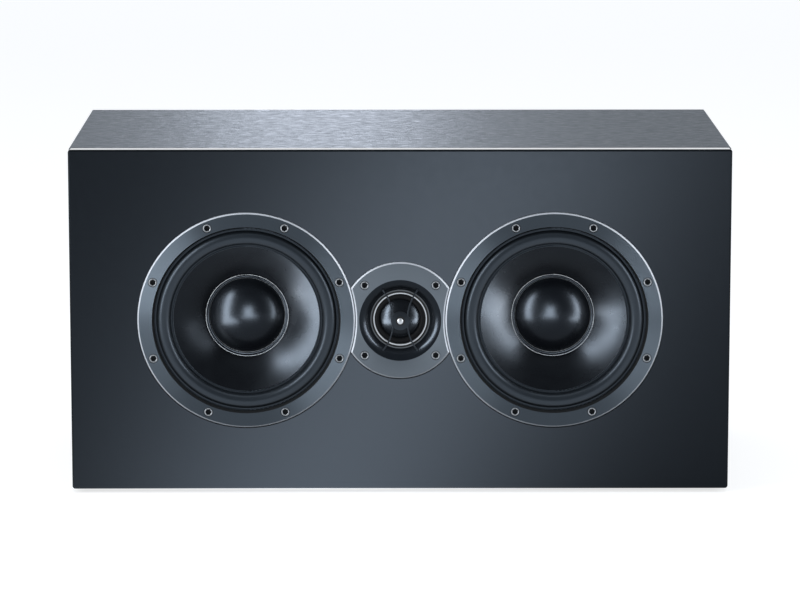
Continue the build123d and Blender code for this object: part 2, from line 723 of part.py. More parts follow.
def rear_chamber():
    """Moulded cup behind the tweeter's motor, with two holes for its leads."""
    front, back = TWEETER_YOKE_BACK_D, TWEETER_YOKE_BACK_D + CHAMBER_L
    inner = CHAMBER_R - CHAMBER_WALL
    cup = turned(polygon(
        (inner, front),
        (CHAMBER_R, front),
        (CHAMBER_R, back),
        (0, back),
        (0, back - CHAMBER_WALL),
        (inner, back - CHAMBER_WALL),
    ))
    hole = rod(LEAD_R + LEAD_HOLE_GAP, back - CHAMBER_WALL, back)
    return cup - [Pos(x, 0, 0) * hole for x in tweeter_lead_spots()]


def tweeter_lead_spots():
    return -TWEETER_LEAD_X, TWEETER_LEAD_X


def phase_plug():
    """Small disc held in front of the dome on four bent legs that plug into the horn."""
    back = PLUG_FRONT_D + PLUG_T
    disc = turned(
        cap_arc((PLUG_R, back - PLUG_T / 2), PLUG_FRONT_D),
        Polyline((0, PLUG_FRONT_D), (0, back), (PLUG_R, back), (PLUG_R, back - PLUG_T / 2)),
    )
    disc += rod(PLUG_BOSS_R, PLUG_FRONT_D - PLUG_BOSS_H, back)
    root_d = back - PLUG_T / 2
    foot_d = horn_depth(sqrt(LEG_FOOT[0] ** 2 + LEG_FOOT[1] ** 2))
    for x, z in leg_feet():
        sx, sz = x / LEG_FOOT[0], z / LEG_FOOT[1]
        root = Vector(sx * LEG_ROOT[0], root_d, sz * LEG_ROOT[1])
        bend = Vector(sx * LEG_BEND[0], (root_d + foot_d) / 2 - PLUG_T, sz * LEG_BEND[1])
        foot = Vector(x, foot_d - LEG_WIRE_R, z)
        path = ThreePointArc(root, bend, foot)
        wire = sweep(Plane(root, z_dir=path % 0) * Circle(LEG_WIRE_R), path)
        stub = Pos(x, 0, z) * rod(LEG_WIRE_R, foot_d - 2 * LEG_WIRE_R, leg_socket_floor())
        disc += [wire, stub, Pos(foot) * Sphere(LEG_WIRE_R)]
    return disc - rod(PIN_R + PIN_GAP, PLUG_FRONT_D - PLUG_BOSS_H, back)


def plug_pin():
    """Bright round-headed rivet through the middle of the phase plug."""
    back = PLUG_FRONT_D + PLUG_T
    return turned(
        cap_arc((PIN_R, PIN_TIP_D + PIN_RISE), PIN_TIP_D),
        Polyline((0, PIN_TIP_D), (0, back), (PIN_R, back), (PIN_R, PIN_TIP_D + PIN_RISE)),
    )


def tweeter():
    spot = at(0, 0, 0)
    plate_in = DOME_R + TWEETER_GAP
    magnet = (TWEETER_PLATE_BACK_D, TWEETER_MAGNET_BACK_D)
    pieces = {
        "faceplate": tweeter_faceplate(),
        "gasket": tweeter_gasket(),
        "trim_ring": trim_ring(),
        "diaphragm": diaphragm(),
        "voice_coil": tweeter_voice_coil(),
        "phase_plug": phase_plug(),
        "plug_pin": plug_pin(),
        "top_plate": ring(plate_in, TWEETER_MAGNET_R, DIAPHRAGM_BACK_D, TWEETER_PLATE_BACK_D),
        "magnet": ring(TWEETER_MAGNET_IN, TWEETER_MAGNET_R, *magnet),
        "yoke": tweeter_yoke(),
        "rear_chamber": rear_chamber(),
    }
    placed = {f"tweeter_{name}": spot * piece for name, piece in pieces.items()}
    screw = driver_screw()
    placed["tweeter_screws"] = Compound([at(x, 0, z) * screw for x, z in tweeter_screw_spots()])
    return placed


# Rear terminal

def cup_screw_spots():
    return mirrored_spots((CUP_W + CUP_FLANGE) / 2, (CUP_H + CUP_FLANGE) / 2)


def cup_outline(grow):
    return RectangleRounded(CUP_W + 2 * grow, CUP_H + 2 * grow, CUP_CORNER_R + grow)


def post_spots():
    return {"red": -POST_PITCH / 2, "black": POST_PITCH / 2}


def terminal_cup():
    """Moulded dish with a flange, sunk in the rear panel."""
    rim_back = CUP_RIM_D + CUP_FLANGE_T
    cup = slab(cup_outline(CUP_FLANGE), CUP_RIM_D, rim_back)
    cup += slab(cup_outline(0), CUP_FLOOR_D - CUP_WALL, rim_back)
    cup -= slab(cup_outline(-CUP_WALL), CUP_FLOOR_D, rim_back)
    hole = rod(CUP_SCREW_R + SCREW_HOLE_GAP, CUP_RIM_D, rim_back)
    cup -= [at(x, 0, z) * hole for x, z in cup_screw_spots()]
    tail = rod(STUD_TAIL_R + KNOB_GAP, CUP_FLOOR_D - CUP_WALL, CUP_FLOOR_D)
    return cup - [at(x, 0, 0) * tail for x in post_spots().values()]


def terminal_gasket():
    seal = slab(cup_outline(CUP_FLANGE) - cup_outline(CUP_GAP), REAR_BACK_D, CUP_RIM_D)
    hole = rod(CUP_SCREW_R + SCREW_HOLE_GAP, REAR_BACK_D, CUP_RIM_D)
    return seal - [at(x, 0, z) * hole for x, z in cup_screw_spots()]


def terminal_screws():
    """Four small round-headed wood screws through the cup's flange."""
    seat = CUP_RIM_D + CUP_FLANGE_T
    head = cap_arc((CUP_SCREW_HEAD_R, seat), seat + CUP_SCREW_HEAD_H)
    tip = seat - CUP_SCREW_L
    screw = turned(head, Polyline(
        (0, seat + CUP_SCREW_HEAD_H),
        (0, tip),
        (CUP_SCREW_R, tip + CUP_SCREW_R),
        (CUP_SCREW_R, seat),
        (CUP_SCREW_HEAD_R, seat),
    ))
    return Compound([at(x, 0, z) * screw for x, z in cup_screw_spots()])


def post_stud():
    """Metal post: threaded tail, shoulder on the cup's floor and a socket for a 4 mm plug."""
    shoulder_d = CUP_FLOOR_D + STUD_SHOULDER_L
    stud = turned(polygon(
        (0, STUD_FRONT_D),
        (STUD_TAIL_R, STUD_FRONT_D),
        (STUD_TAIL_R, CUP_FLOOR_D),
        (STUD_SHOULDER_R, CUP_FLOOR_D),
        (STUD_SHOULDER_R, shoulder_d),
        (STUD_R, shoulder_d),
        (STUD_R, STUD_BACK_D),
        (0, STUD_BACK_D),
    ))
    stud -= rod(BANANA_R, STUD_BACK_D - BANANA_L, STUD_BACK_D)
    wire_d = shoulder_d + WIRE_HOLE_R + KNOB_LIFT
    return stud - Pos(0, wire_d, 0) * Cylinder(WIRE_HOLE_R, 4 * STUD_R)


def post_knob():
    """Ribbed plastic nut that screws down the post."""
    front = CUP_FLOOR_D + STUD_SHOULDER_L + KNOB_LIFT
    knob = ring(STUD_R + KNOB_GAP, KNOB_R, front, STUD_BACK_D)
    rib = rod(KNOB_RIB_R, front, STUD_BACK_D)
    step = 360 / KNOB_RIBS
    return knob - [Rot(0, step * i, 0) * Pos(KNOB_R, 0, 0) * rib for i in range(KNOB_RIBS)]


def post_nuts():
    """Nuts that hold the posts from inside the cabinet."""
    back = CUP_FLOOR_D - CUP_WALL
    nut = slab(RegularPolygon(NUT_AF / sqrt(3), 6), back - NUT_T, back)
    nut -= at(0, 0, 0) * rod(STUD_TAIL_R + KNOB_GAP, back - NUT_T, back)
    return Compound([Pos(x, 0, 0) * nut for x in post_spots().values()])


def terminal():
    pieces = {
        "terminal_cup": terminal_cup(),
        "terminal_gasket": terminal_gasket(),
        "terminal_screws": terminal_screws(),
        "post_nuts": post_nuts(),
    }
    for colour, x in post_spots().items():
        pieces[f"{colour}_post_stud"] = at(x, 0, 0) * post_stud()
        pieces[f"{colour}_post_knob"] = at(x, 0, 0) * post_knob()
    return pieces


# Crossover, leads and damping

def board_peg_spots():
    across, up = BOARD_W / 2 - BOARD_PEG_INSET, BOARD_H / 2 - BOARD_PEG_INSET
    return [(BESIDE_CUP_X + x, z) for x, z in mirrored_spots(across, up)]


def crossover():
    """Filter board on pegs inside the rear panel, with its coils, capacitors and resistor."""
    top = BOARD_FRONT_D - PART_LIFT
    outline = Pos(BESIDE_CUP_X, 0) * Rectangle(BOARD_W, BOARD_H)
    peg_hole = rod(BOARD_PEG_R + SCREW_PILOT_GAP, BOARD_FRONT_D, BOARD_BACK_D)
    board = slab(outline, BOARD_FRONT_D, BOARD_BACK_D)
    board -= [at(x, 0, z) * peg_hole for x, z in board_peg_spots()]
    peg = rod(BOARD_PEG_R, BOARD_FRONT_D, REAR_FRONT_D + BOARD_STANDOFF)
    peg += rod(2 * BOARD_PEG_R, BOARD_BACK_D, REAR_FRONT_D)
    bass_x = BESIDE_CUP_X - BOARD_W / 2 + BASS_CHOKE_R + 2 * BOARD_PEG_INSET
    treble_x = BESIDE_CUP_X + BOARD_W / 2 - TREBLE_CHOKE_R - 2 * BOARD_PEG_INSET
    row_z = BOARD_H / 2 - 2 * BOARD_PEG_INSET - BASS_CHOKE_R / 2
    bass = ring(BASS_CHOKE_IN, BASS_CHOKE_R, top - BASS_CHOKE_L, top)
    treble = ring(TREBLE_CHOKE_IN, TREBLE_CHOKE_R, top - TREBLE_CHOKE_L, top)
    lying = Rot(0, 90, 0) * Cylinder(CAPACITOR_R, CAPACITOR_L)
    pitch = CAPACITOR_L + CAPACITOR_GAP
    low_z = row_z - BASS_CHOKE_R - CAPACITOR_R - CAPACITOR_GAP
    capacitors = [at(BESIDE_CUP_X + s * pitch / 2, top - CAPACITOR_R, low_z) * lying for s in (-1, 1)]
    resistor = Box(RESISTOR_L, RESISTOR_W, RESISTOR_W)
    resistor_z = low_z - CAPACITOR_R - CAPACITOR_GAP - RESISTOR_W / 2
    return {
        "crossover_board": board,
        "crossover_pegs": Compound([at(x, 0, z) * peg for x, z in board_peg_spots()]),
        "bass_choke": at(bass_x, 0, row_z) * bass,
        "treble_choke": at(treble_x, 0, row_z) * treble,
        "crossover_capacitors": Compound(capacitors),
        "crossover_resistor": at(BESIDE_CUP_X, top - RESISTOR_W / 2, resistor_z) * resistor,
    }


def lead(x, depth, z, run, board_z):
    """Wire that leaves a point straight along the depth, crosses to the board's edge and meets it square."""
    board_x = BESIDE_CUP_X - BOARD_W / 2 + BOARD_PEG_INSET
    path = FilletPolyline(
        at(x, depth, z).position,
        at(x, depth + run, z).position,
        at(board_x, BOARD_FRONT_D - LEAD_RUN, board_z).position,
        at(board_x, BOARD_FRONT_D - SEAT_GAP, board_z).position,
        radius=LEAD_BEND_R,
    )
    return sweep(Plane(path @ 0, z_dir=path % 0) * Circle(LEAD_R), path)


def hookup_leads():
    """Eight insulated wires in one column on the board, from the posts, the tweeter and the two woofers."""
    tab_d = TOP_PLATE_D + 1.5 * STRIP_T + SEAT_GAP
    tab_z = STRIP_PAD_T - BASKET_RING_R - STRIP_L
    tabs = [(side * WOOFER_X + s * STRIP_W / 4, tab_d, tab_z) for side in (1, -1) for s in (-1, 1)]
    coils = [(x, TWEETER_YOKE_BACK_D + SEAT_GAP, 0) for x in tweeter_lead_spots()]
    ends = [(x, STUD_FRONT_D - SEAT_GAP, 0, -LEAD_RUN) for x in post_spots().values()]
    ends += [(*spot, LEAD_RUN) for spot in coils + tabs]
    top = LEAD_PITCH * (len(ends) - 1) / 2
    return Compound([lead(*end, top - LEAD_PITCH * i) for i, end in enumerate(ends)])


def damping_fleece():
    """Pad of polyester wadding on the rear panel, between the terminal and the left side."""
    width = (INSIDE_W - CUP_W) / 2 - 2 * FLEECE_GAP
    pad = Pos(-BESIDE_CUP_X, 0) * RectangleRounded(width, INSIDE_H - 2 * FLEECE_GAP, FLEECE_T)
    return slab(pad, REAR_FRONT_D - FLEECE_T, REAR_FRONT_D)


def all_pieces():
    pieces = {
        "front_panel": front_panel(),
        "inner_baffle": inner_baffle(),
        "rear_panel": rear_panel(),
        "rubber_feet": rubber_feet(),
        "damping_fleece": damping_fleece(),
        "hookup_leads": hookup_leads(),
    }
    for group in (wrap_panels(), woofer("left"), woofer("right"), tweeter(), terminal(), crossover()):
        pieces.update(group)
    return pieces


os.makedirs("parts", exist_ok=True)
for node, piece in all_pieces().items():
    export_step(piece, f"parts/{node}.step")
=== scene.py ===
"""Centre channel loudspeaker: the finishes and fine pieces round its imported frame, on a pale studio floor."""
import bmesh
import bpy
import math
from mathutils import Matrix, Vector
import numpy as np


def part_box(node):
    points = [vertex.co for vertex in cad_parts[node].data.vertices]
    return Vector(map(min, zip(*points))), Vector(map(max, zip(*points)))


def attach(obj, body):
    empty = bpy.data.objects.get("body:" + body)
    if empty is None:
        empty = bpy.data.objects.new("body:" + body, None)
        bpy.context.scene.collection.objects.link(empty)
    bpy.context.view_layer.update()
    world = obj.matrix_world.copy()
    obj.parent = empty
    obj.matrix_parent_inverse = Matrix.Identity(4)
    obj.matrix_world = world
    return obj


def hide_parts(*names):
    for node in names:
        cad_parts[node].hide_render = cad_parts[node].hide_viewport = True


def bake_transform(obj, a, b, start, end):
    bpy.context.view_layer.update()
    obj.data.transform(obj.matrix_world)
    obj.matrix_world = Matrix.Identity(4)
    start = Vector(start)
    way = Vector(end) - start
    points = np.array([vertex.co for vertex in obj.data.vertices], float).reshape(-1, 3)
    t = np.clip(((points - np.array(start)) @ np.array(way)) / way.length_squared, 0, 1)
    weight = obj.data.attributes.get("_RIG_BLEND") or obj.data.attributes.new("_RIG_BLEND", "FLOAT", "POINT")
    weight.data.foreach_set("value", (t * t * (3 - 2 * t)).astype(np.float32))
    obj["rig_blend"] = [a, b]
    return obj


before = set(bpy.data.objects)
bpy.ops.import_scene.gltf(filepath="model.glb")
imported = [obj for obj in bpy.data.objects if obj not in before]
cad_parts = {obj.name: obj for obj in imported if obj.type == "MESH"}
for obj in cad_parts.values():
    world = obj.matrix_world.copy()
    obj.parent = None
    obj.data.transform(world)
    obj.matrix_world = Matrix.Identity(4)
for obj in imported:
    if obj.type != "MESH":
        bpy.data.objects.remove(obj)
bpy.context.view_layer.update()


# Front panel: a fibreboard front with rounded edges, sprayed with graphite lacquer and polished, glued on the
# cabinet. Everything else on this side is let into it.
MM = 0.001


def linear(colour):
    """A hex sRGB colour as linear red, green, blue and alpha."""
    parts = [int(colour[i:i + 2], 16) / 255 for i in (1, 3, 5)]
    return [p / 12.92 if p <= 0.04045 else ((p + 0.055) / 1.055) ** 2.4 for p in parts] + [1.0]


def add(tree, kind, inputs=None, **settings):
    """Adds one node. Settings are its own properties; each input takes a value, or a socket to link from."""
    made = tree.nodes.new(kind)
    for name, value in settings.items():
        setattr(made, name, value)
    for name, value in (inputs or {}).items():
        if isinstance(value, bpy.types.NodeSocket):
            tree.links.new(value, made.inputs[name])
        else:
            made.inputs[name].default_value = value
    return made


def new_finish(name, colour, **sockets):
    """A new material's tree, with the values that are the same all over set on its shader's own sockets."""
    material = bpy.data.materials.new(name)
    material.use_nodes = True
    shader = material.node_tree.nodes["Principled BSDF"]
    shader.inputs["Base Color"].default_value = linear(colour)
    for socket, value in sockets.items():
        shader.inputs[socket.replace("_", " ")].default_value = value
    return material, material.node_tree, shader


def mottle(tree, shader, grain, rough, relief, shades=None):
    """Varies a finish with one noise. Grain is its size in mm across, back and up, rough the two roughness
    limits, relief the height of its bumps in mm, and shades the two colours that it moves between."""
    place = add(tree, "ShaderNodeTexCoord")
    scale = [1 / (size * MM) for size in grain]
    spots = add(tree, "ShaderNodeMapping", {"Vector": place.outputs["Object"], "Scale": scale})
    noise = add(tree, "ShaderNodeTexNoise", {"Vector": spots.outputs[0], "Scale": 1.0, "Detail": 3.0})
    gloss = add(tree, "ShaderNodeMapRange", {"Value": noise.outputs["Fac"], "From Min": 0.3, "From Max": 0.7,
                                             "To Min": rough[0], "To Max": rough[1]})
    bump = add(tree, "ShaderNodeBump", {"Height": noise.outputs["Fac"], "Strength": 1.0,
                                        "Distance": relief * MM})
    tree.links.new(gloss.outputs[0], shader.inputs["Roughness"])
    tree.links.new(bump.outputs[0], shader.inputs["Normal"])
    if shades:
        tint = add(tree, "ShaderNodeMix", {"Factor": noise.outputs["Fac"]}, data_type="RGBA")
        tint.inputs["A"].default_value, tint.inputs["B"].default_value = map(linear, shades)
        tree.links.new(tint.outputs["Result"], shader.inputs["Base Color"])


def dress(material, *names):
    """Gives the frame's own nodes a finish."""
    for name in names:
        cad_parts[name].material_slots[0].material = material


# Polyester lacquer over a graphite base coat: deep, nearly black, with a soft polish that mirrors broad light
# only faintly and a little blue, and a trace of orange peel about 5 mm wide.
COOL = linear("#D6E9FF")
lacquer, tree, shader = new_finish("graphite_lacquer", "#0A0C0F", IOR=1.22, Specular_Tint=COOL)
mottle(tree, shader, (5, 5, 5), (0.1, 0.13), 0.0008, ("#090B0E", "#0B0E11"))
dress(lacquer, "front_panel")


# Cabinet wrap: top, bottom and side boards, folded from one sheet with mitred corners. The board is covered
# with a dark decor foil whose embossed grain runs along the sheet, over the top and down the sides.
def embossed_foil(name, along):
    """Foil with its grain along one axis: 0 is across the cabinet and 2 is upwards."""
    material, tree, shader = new_finish(name, "#2B3138", IOR=1.5, Specular_Tint=COOL)
    place = add(tree, "ShaderNodeTexCoord")
    # Real pores are about 0.3 mm wide and 8 mm long. They are drawn wider, so that they show from here.
    emboss_depth = 0.6 * MM
    pore, streak = [4.0, 4.0, 4.0], [16.0, 16.0, 16.0]
    pore[along], streak[along] = 9.0, 120.0
    heights = []
    for size in (pore, streak):
        scale = [1 / (s * MM) for s in size]
        spots = add(tree, "ShaderNodeMapping", {"Vector": place.outputs["Object"], "Scale": scale})
        noise = add(tree, "ShaderNodeTexNoise", {"Vector": spots.outputs[0], "Scale": 1.0, "Detail": 4.0,
                                                 "Roughness": 0.65, "Distortion": 0.4})
        heights.append(noise.outputs["Fac"])
    mixed = add(tree, "ShaderNodeMath", {0: heights[0], 1: heights[1]}, operation="ADD")
    tint = add(tree, "ShaderNodeMix", {"Factor": heights[1]}, data_type="RGBA")
    tint.inputs["A"].default_value, tint.inputs["B"].default_value = linear("#23272C"), linear("#393F46")
    gloss = add(tree, "ShaderNodeMapRange", {"Value": heights[0], "From Min": 0.3, "From Max": 0.7,
                                             "To Min": 0.3, "To Max": 0.5})
    bump = add(tree, "ShaderNodeBump", {"Height": mixed.outputs[0], "Strength": 1.0,
                                        "Distance": emboss_depth})
    tree.links.new(tint.outputs["Result"], shader.inputs["Base Color"])
    tree.links.new(gloss.outputs[0], shader.inputs["Roughness"])
    tree.links.new(bump.outputs[0], shader.inputs["Normal"])
    return material


dress(embossed_foil("embossed_foil_across", 0), "top_panel", "bottom_panel")
dress(embossed_foil("embossed_foil_upright", 2), "left_side_panel", "right_side_panel")


# Inner baffle: a raw fibreboard glued behind the front, which the driver screws bite into.
# Bare fibreboard is a dull brown with fine flecks.
fibreboard, tree, shader = new_finish("fibreboard", "#7A5F42", Roughness=0.8)
mottle(tree, shader, (1.5, 1.5, 1.5), (0.75, 0.9), 0.05, ("#6B5238", "#8C6E4E"))
dress(fibreboard, "inner_baffle")


# Rear panel: a board set a little into the wrap and glued.
# It is covered with plain black foil that has a fine leather-like grain.
black_foil, tree, shader = new_finish("black_foil", "#17191B", IOR=1.5)
mottle(tree, shader, (1.2, 1.2, 1.2), (0.42, 0.58), 0.06, ("#121416", "#1E2023"))
dress(black_foil, "rear_panel")


# Rubber feet: four turned pads stuck under the bottom board.
# Soft rubber is matt and faintly dusty.
foot_rubber, tree, shader = new_finish("foot_rubber", "#1B1C1D", Specular_IOR_Level=0.35)
mottle(tree, shader, (1.0, 1.0, 1.0), (0.6, 0.8), 0.03, ("#151617", "#232425"))
dress(foot_rubber, "rubber_feet")


# Damping fleece: a pad of polyester wadding on the inside of the rear panel.
# Its fibres give it a matt white nap.
fleece, tree, shader = new_finish("polyester_wadding", "#D8D6CF", Roughness=0.95, Sheen_Weight=0.4)
mottle(tree, shader, (3, 3, 3), (0.9, 1.0), 0.8, ("#C9C7BF", "#E6E4DE"))
dress(fleece, "damping_fleece")


# Woofer frames: cast baskets with flat flanges, turned on the face and lacquered in dark titanium grey. The
# outer edge is bare cut metal with a painted highlight, and the seat inside the flange is left black.
EDGE_ANGLE, SOFT_EDGE_ANGLE, MERGE_GAP = 32, 50, 0.02


def axis_of(node):
    """The point where a driver's axis meets its front, worked out from a round node."""
    low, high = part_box(node)
    return Vector(((low.x + high.x) / 2, low.y, (low.z + high.z) / 2))


def painted_copy(name, node, body, finishes, choose, sharp=EDGE_ANGLE):
    """A merged copy of a node with several finishes. Choose gives a face's finish from its distance from the
    axis and its depth behind the front, both in mm, and from its normal. Edges that turn by more than sharp,
    in degrees, stay sharp."""
    shape = bmesh.new()
    shape.from_mesh(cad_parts[node].data)
    bmesh.ops.remove_doubles(shape, verts=shape.verts, dist=MERGE_GAP * MM)
    centre = axis_of(node)
    for face in shape.faces:
        face.smooth = True
        reach = face.calc_center_median() - centre
        radius = math.hypot(reach.x, reach.z) / MM
        face.material_index = choose(radius, reach.y / MM, face.normal)
    for edge in shape.edges:
        edge.smooth = len(edge.link_faces) == 2 and edge.calc_face_angle() < math.radians(sharp)
    mesh = bpy.data.meshes.new(name)
    shape.to_mesh(mesh)
    shape.free()
    # The loose triangles' own normals don't fit the merged mesh.
    mesh.attributes.remove(mesh.attributes["custom_normal"])
    for finish in finishes:
        mesh.materials.append(finish)
    piece = bpy.data.objects.new(name, mesh)
    bpy.context.scene.collection.objects.link(piece)
    if body:
        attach(piece, body)
    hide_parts(node)
    return piece


# Satin lacquer with metal pigment: a cool mid grey. Its turning lines, 0.5 mm apart, stretch each gleam away
# from the axis, so that the flange shows lighter and darker sectors.
def turned_lacquer(name, centre, colour, stretch):
    """Turned and lacquered metal whose lines run round one driver's axis. Stretch is how far they draw out a
    gleam."""
    material, tree, shader = new_finish(name, colour, Metallic=1.0, Anisotropic=stretch)
    place = add(tree, "ShaderNodeTexCoord")
    moved = add(tree, "ShaderNodeMapping", {"Vector": place.outputs["Object"], "Location": -centre})
    tree.links.new(moved.outputs[0], shader.inputs["Tangent"])
    line_pitch, line_depth, speckle_size = 0.5 * MM, 0.002 * MM, 0.8 * MM
    # At a scale of 1, the wave texture advances by 20 radians over one unit.
    wave_scale = 2 * math.pi / 20 / line_pitch
    lines = add(tree, "ShaderNodeTexWave", {"Vector": moved.outputs[0], "Scale": wave_scale,
                                            "Distortion": 0.6, "Detail": 2.0, "Detail Scale": 1.5},
                wave_type="RINGS", rings_direction="Y")
    speckle = add(tree, "ShaderNodeTexNoise", {"Vector": place.outputs["Object"], "Scale": 1 / speckle_size})
    height = add(tree, "ShaderNodeMath", {0: lines.outputs["Fac"], 1: speckle.outputs["Fac"]},
                 operation="ADD")
    bump = add(tree, "ShaderNodeBump", {"Height": height.outputs[0], "Strength": 1.0, "Distance": line_depth})
    gloss = add(tree, "ShaderNodeMapRange", {"Value": speckle.outputs["Fac"], "To Min": 0.36, "To Max": 0.44})
    tree.links.new(gloss.outputs[0], shader.inputs["Roughness"])
    tree.links.new(bump.outputs[0], shader.inputs["Normal"])
    return material


# Bare cut aluminium: a light grey with the short scratches of the cutter, which scatter light widely. Part
# of its lightness is a painted highlight, so that the edge shows as one even bright line all round.
cut_edge_and_highlight, tree, shader = new_finish("cut_aluminium", "#92989F", Metallic=0.5)
mottle(tree, shader, (0.5, 0.5, 0.5), (0.45, 0.55), 0.002, ("#8A9098", "#9AA0A8"))

# Black primer: the flange's inner step and all that lies behind it.
primer, tree, shader = new_finish("black_primer", "#0C0E10", IOR=1.4)
mottle(tree, shader, (0.8, 0.8, 0.8), (0.4, 0.55), 0.01)

SIDES = ("left", "right")
FLANGE_R, FLANGE_EDGE = 77.5, 1.0


def flange_part(radius, depth, normal):
    """Lacquer on the face, bare metal with a painted highlight on the outer edge, primer elsewhere."""
    if radius > FLANGE_R - FLANGE_EDGE and depth < FLANGE_EDGE:
        return 1
    return 0 if depth < FLANGE_EDGE / 4 else 2


frames = []
for side in SIDES:
    node = f"{side}_woofer_basket"
    face_lacquer = turned_lacquer(f"{side}_turned_lacquer", axis_of(node), "#464E56", 0.92)
    frames.append(painted_copy(f"{side}_woofer_frame", node, "cabinet",
                               (face_lacquer, cut_edge_and_highlight, primer), flange_part))


# Gaskets: die-cut rings of closed-cell foam under the flanges and the terminal cup.
# The cut foam is a dull black with fine open cells.
foam, tree, shader = new_finish("closed_cell_foam", "#191A1B", Specular_IOR_Level=0.3)
mottle(tree, shader, (0.5, 0.5, 0.5), (0.8, 0.95), 0.06, ("#131415", "#202122"))
dress(foam, "left_woofer_gasket", "right_woofer_gasket", "tweeter_gasket", "terminal_gasket")


# Surrounds: moulded rubber half rolls between frame and cone. The outer lip is glued to the frame and the
# inner lip to the cone, so the roll follows the cone by its distance from the frame.
def follow_by_radius(piece, centre, body, inner, outer):
    """The piece stays with the cabinet outside the outer radius, in mm, and follows the body inside the inner
    one. The line that the blend asks for only makes the weights, which are then set by radius."""
    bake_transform(piece, "cabinet", body, start=centre, end=centre + Vector((0, 0.01, 0)))
    weights = piece.data.attributes["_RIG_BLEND"].data
    for point, weight in zip(piece.data.vertices, weights):
        reach = point.co - centre
        share = (outer - math.hypot(reach.x, reach.z) / MM) / (outer - inner)
        share = min(1.0, max(0.0, share))
        weight.value = share * share * (3 - 2 * share)


# Butyl rubber: soft black with a low sheen, a faint bloom and the fine grain of its mould.
rubber, tree, shader = new_finish("butyl_rubber", "#101418", IOR=1.6, Specular_Tint=COOL)
mottle(tree, shader, (0.7, 0.7, 0.7), (0.3, 0.38), 0.004, ("#0E1215", "#14181C"))
ROLL_IN, ROLL_OUT = 54.0, 64.3
for side in SIDES:
    node = f"{side}_woofer_surround"
    roll = painted_copy(f"{side}_woofer_roll", node, None, (rubber,), lambda *face: 0,
                        SOFT_EDGE_ANGLE)
    follow_by_radius(roll, axis_of(node), f"{side}_cone", ROLL_IN, ROLL_OUT)


# Cones and dust caps: pressed fibre cones with a gloss coat, and a domed cap glued on each with a twin-beaded
# lip. Two thin silver lines on the lip are painted highlights along its beads.
coat, tree, shader = new_finish("gloss_coat", "#030304", IOR=1.25, Specular_Tint=COOL)
mottle(tree, shader, (14, 14, 14), (0.25, 0.31), 0.02, ("#020203", "#040506"))
dress(coat, "left_woofer_cone", "right_woofer_cone")

# The cap's coat is smoother than the cone's, so it shows the lamps as crisper shapes.
cap_coat, tree, shader = new_finish("cap_coat", "#020203", IOR=1.27, Specular_Tint=COOL)
mottle(tree, shader, (20, 20, 20), (0.25, 0.29), 0.01, ("#010102", "#030405"))

# A painted highlight in silver, a little uneven, along the inner edge of one bead and the outer edge of the
# other.
bead_silver, tree, shader = new_finish("bead_silver", "#4C5054", Metallic=0.4)
mottle(tree, shader, (0.8, 0.8, 0.8), (0.4, 0.6), 0.01, ("#424649", "#585C60"))

BEADS_IN, BEADS_OUT, BEAD_LINE = 26.9, 29.7, 0.3


def cap_part(radius, depth, normal):
    """Painted highlight in silver on the two lines of the lip's front, coat elsewhere."""
    on_line = 0 < radius - BEADS_IN < BEAD_LINE or 0 < BEADS_OUT - radius < BEAD_LINE
    return 1 if on_line and normal.y < 0 else 0


caps = [painted_copy(f"{side}_woofer_cap", f"{side}_woofer_dust_cap", f"{side}_cone",
                     (cap_coat, bead_silver), cap_part, SOFT_EDGE_ANGLE) for side in SIDES]


# Voice coils: formers wound with enamelled copper wire, which shows as fine orange-brown ribs.
# The two chokes of the crossover are wound with the same wire.
coil_wire, tree, shader = new_finish("enamelled_copper", "#A4582F", Metallic=1.0)
mottle(tree, shader, (4, 0.4, 4), (0.25, 0.4), 0.05, ("#8E4723", "#BF6C3C"))
dress(coil_wire, "left_woofer_voice_coil", "right_woofer_voice_coil", "tweeter_voice_coil", "bass_choke",
      "treble_choke")


# Spiders: corrugated discs of woven cloth, stiffened with resin, that centre the coils.
# The cloth is ochre and coarse.
resin_cloth, tree, shader = new_finish("resin_cloth", "#9A7A3F", Roughness=0.7)
mottle(tree, shader, (0.6, 0.6, 0.6), (0.6, 0.8), 0.08, ("#866833", "#AC8B4C"))
dress(resin_cloth, "left_woofer_spider", "right_woofer_spider")


# Motors: zinc-plated steel plates and yokes round a ferrite ring.
# Plating is a bluish grey with a soft spangle.
zinc, tree, shader = new_finish("zinc_plate", "#9CA1A6", Metallic=1.0)
mottle(tree, shader, (6, 6, 6), (0.3, 0.45), 0.005, ("#8B9095", "#AEB3B8"))
motor_steel = [f"{driver}_{part}" for driver in ("left_woofer", "right_woofer", "tweeter")
               for part in ("top_plate", "yoke")]
dress(zinc, *motor_steel)

# Sintered ferrite: charcoal grey, matt and slightly pitted.
ferrite, tree, shader = new_finish("sintered_ferrite", "#2E2F31", Roughness=0.7)
mottle(tree, shader, (1.2, 1.2, 1.2), (0.6, 0.8), 0.05, ("#27282A", "#37383A"))
dress(ferrite, "left_woofer_magnet", "right_woofer_magnet", "tweeter_magnet")

# Terminal strips: pressed paper laminate with tinned tabs, riveted under the frames.
strip_board, tree, shader = new_finish("paper_laminate", "#7B5A35", Roughness=0.55)
mottle(tree, shader, (0.9, 0.9, 0.9), (0.45, 0.65), 0.02, ("#6C4E2D", "#8A673E"))
dress(strip_board, "left_woofer_terminal_strip", "right_woofer_terminal_strip")
